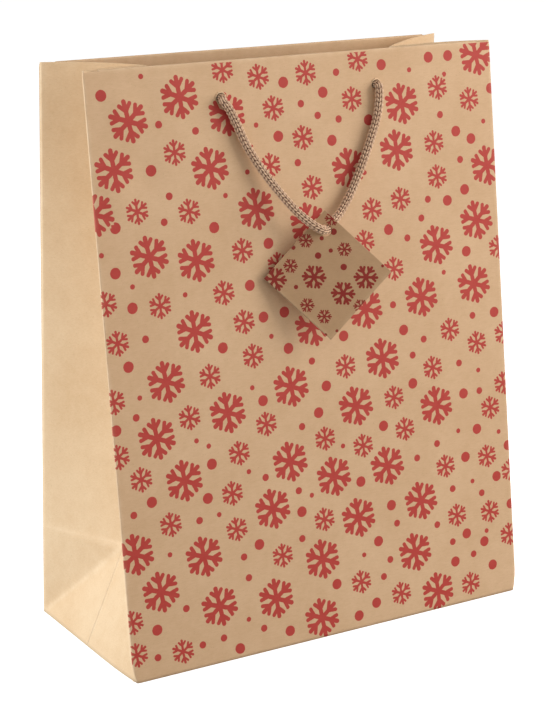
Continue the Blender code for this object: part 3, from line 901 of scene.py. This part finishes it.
# A square card stood on its corner: straight lines run from the hole's rim to the card's outline,
# and it curls by curl * (x / half diagonal)^2
def makeTag():
    half = tag["side"] / math.sqrt(2)
    corners = np.array([(0, half), (half, 0), (0, -half), (-half, 0), (0, half)])
    t = np.linspace(0, 1, tag["perSide"], endpoint=False)[None, :, None]
    outline = (corners[:-1, None] * (1 - t) + corners[1:, None] * t).reshape(-1, 2)
    fromHole = outline - (0, tag["holeFromMiddle"])
    rimLine = unit(fromHole) * tag["holeRadius"]
    out = np.linspace(0, 1, tag["rings"])[:, None, None]
    flat = rimLine[None] * (1 - out) + fromHole[None] * out
    curl = -tag["curl"] * (flat[..., 0] / half) ** 2
    local = np.stack([flat[..., 0], curl, flat[..., 1]], -1)
    turn = np.array(Matrix.Rotation(-lean, 3, "X") @ turnBy(tag["turn"]))
    middle = local @ turn.T + np.array(hinges["tag_swing"])
    piece, faces = thickSheet("printed_tag", middle, tag["thickness"], joined=True)
    onCard = flat + (0, tag["holeFromMiddle"])
    table = motifTable(tagPrint, (0, 0), tagPrintScale, tagPrintTurn, 9)
    both = np.concatenate([onCard.reshape(-1, 2)] * 2)
    printed = np.zeros(len(faces), bool)
    printed[:2 * (tag["rings"] - 1) * len(outline)] = True
    layPrint(piece, faces, both, table, printed)
    # the card's cut edge is painted pale: part wear, part painted highlight
    wearAndHighlight = 0.5 * np.exp(-((1 - out[..., 0]) / tag["wearAndHighlightShare"]) ** 2) + 0 * flat[..., 0]
    markFold(piece, wearAndHighlight)
    # the darker card material carries painted shade
    dress(piece, shadedPrintedCard)
    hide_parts("gift_tag")
    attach(piece, "tag")
    return piece


giftTag = makeTag()
print("tag cut and printed")

# the folded bottom, as rows across each sheet in millimetres: front to back, half width, height of
# its middle
bottom = {
    "front_bottom_flap": ((-59.7, 121.2, 0.2), (-56, 123.6, 0.2), (-48, 122.4, 0.2), (15, 111, 0.2)),
    "rear_bottom_flap": ((59.7, 124.4, 0.2), (17, 115.6, 0.2), (15.7, 115.2, 0.9), (-15, 111, 0.9)),
    "base_board": ((-57.8, 119.5, 2.4), (-55, 121.6, 2.4), (55, 121.6, 2.4), (57.8, 119.5, 2.4)),
    "tuck": ((123.1, 55, 1.6), (118, 55, 1.6), (72.3, 28.2, 1.6)),   # across, half width, height
    "boardThickness": 1.0 * mm,
}


# a flat or stepped sheet: straight rows from edge to edge, one after another
def makeBottomSheet(name, rows, thickness, material, cadNode, side=None):
    rows = np.array(rows) * mm
    ends = np.stack([-rows[:, 1], rows[:, 1]], axis=1)
    along = rows[:, :1] + 0 * ends
    height = rows[:, 2:] + 0 * ends
    corners = [side * along, ends, height] if side else [ends, along, height]
    piece, faces = thickSheet(name, np.stack(corners, -1), thickness)
    piece.data.polygons.foreach_set("use_smooth", [False] * len(piece.data.polygons))
    piece.data.attributes.new("fold", "FLOAT", "POINT")
    dress(piece, material)
    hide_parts(cadNode)
    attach(piece, "root")


for flap in ("front_bottom_flap", "rear_bottom_flap"):
    makeBottomSheet(flap + "_paper", bottom[flap], bag["paper"], plainKraft, flap)
for sideName, side in (("left", -1), ("right", 1)):
    makeBottomSheet(sideName + "_tuck_paper", bottom["tuck"], bag["paper"], plainKraft,
                    sideName + "_base_tuck", side)
makeBottomSheet("bottom_board", bottom["base_board"], bottom["boardThickness"], greyBoard,
                "base_board")

# the hidden papers and boards keep their own shape
for nodeName, material in (("side_seam_lap", plainKraft),
                           ("front_reinforcing_card", greyBoard), ("back_reinforcing_card", greyBoard)):
    node = frame["nodes"][nodeName]
    node.data.materials.clear()
    node.data.materials.append(material)


# a pale floor under a pale sky, and three soft lamps
stage = {
    "size": 60.0,
    "drop": 0.2 * mm,    # the floor lies this far under the bag
    "floor": (0.93, 0.93, 0.93, 1),
    "white": (1, 1, 1, 1),
    "glow": 0.75,
    "sky": 0.30,
    "aim": (0, 0, 0.16),
}
lamps = {
    "keyRight": {"at": (0.92, -0.70, 0.60), "size": 0.9, "power": 13, "colour": (1.0, 0.95, 0.92)},
    "sideLeft": {"at": (-1.2, 0.22, 0.5), "size": 0.6, "power": 18, "colour": (0.86, 0.93, 1.0)},
    "frontFill": {"at": (-0.1, -1.7, 0.9), "size": 1.4, "power": 5, "colour": (1.0, 0.96, 0.97)},
}


def makeStage():
    half = stage["size"] / 2
    corners = [(-half, -half, -stage["drop"]), (half, -half, -stage["drop"]),
               (half, half, -stage["drop"]), (-half, half, -stage["drop"])]
    floor = newObject("floor", corners, [(0, 1, 2, 3)], smooth=False)
    material = newMaterial("paleFloor", **{
        "Base Color": stage["floor"], "Roughness": 0.9, "Specular IOR Level": 0.1,
        "Emission Color": stage["white"], "Emission Strength": stage["glow"]})[0]
    floor.data.materials.append(material)
    floor.visible_diffuse = floor.visible_glossy = False   # the sky alone lights from below
    for name, lamp in lamps.items():
        light = bpy.data.lights.new(name, "AREA")
        light.shape, light.size = "SQUARE", lamp["size"]
        light.energy, light.color = lamp["power"], lamp["colour"]
        holder = bpy.data.objects.new(name, light)
        bpy.context.scene.collection.objects.link(holder)
        holder.location = lamp["at"]
        aim = Vector(stage["aim"]) - holder.location
        holder.rotation_euler = aim.to_track_quat("-Z", "Y").to_euler()
    world = bpy.data.worlds.new("softbox")
    world.use_nodes = True
    sky = world.node_tree.nodes["Background"]
    sky.inputs["Color"].default_value = stage["white"]
    sky.inputs["Strength"].default_value = stage["sky"]
    bpy.context.scene.world = world
    bpy.context.scene.view_settings.view_transform = "Standard"


makeStage()
print("stage lit")
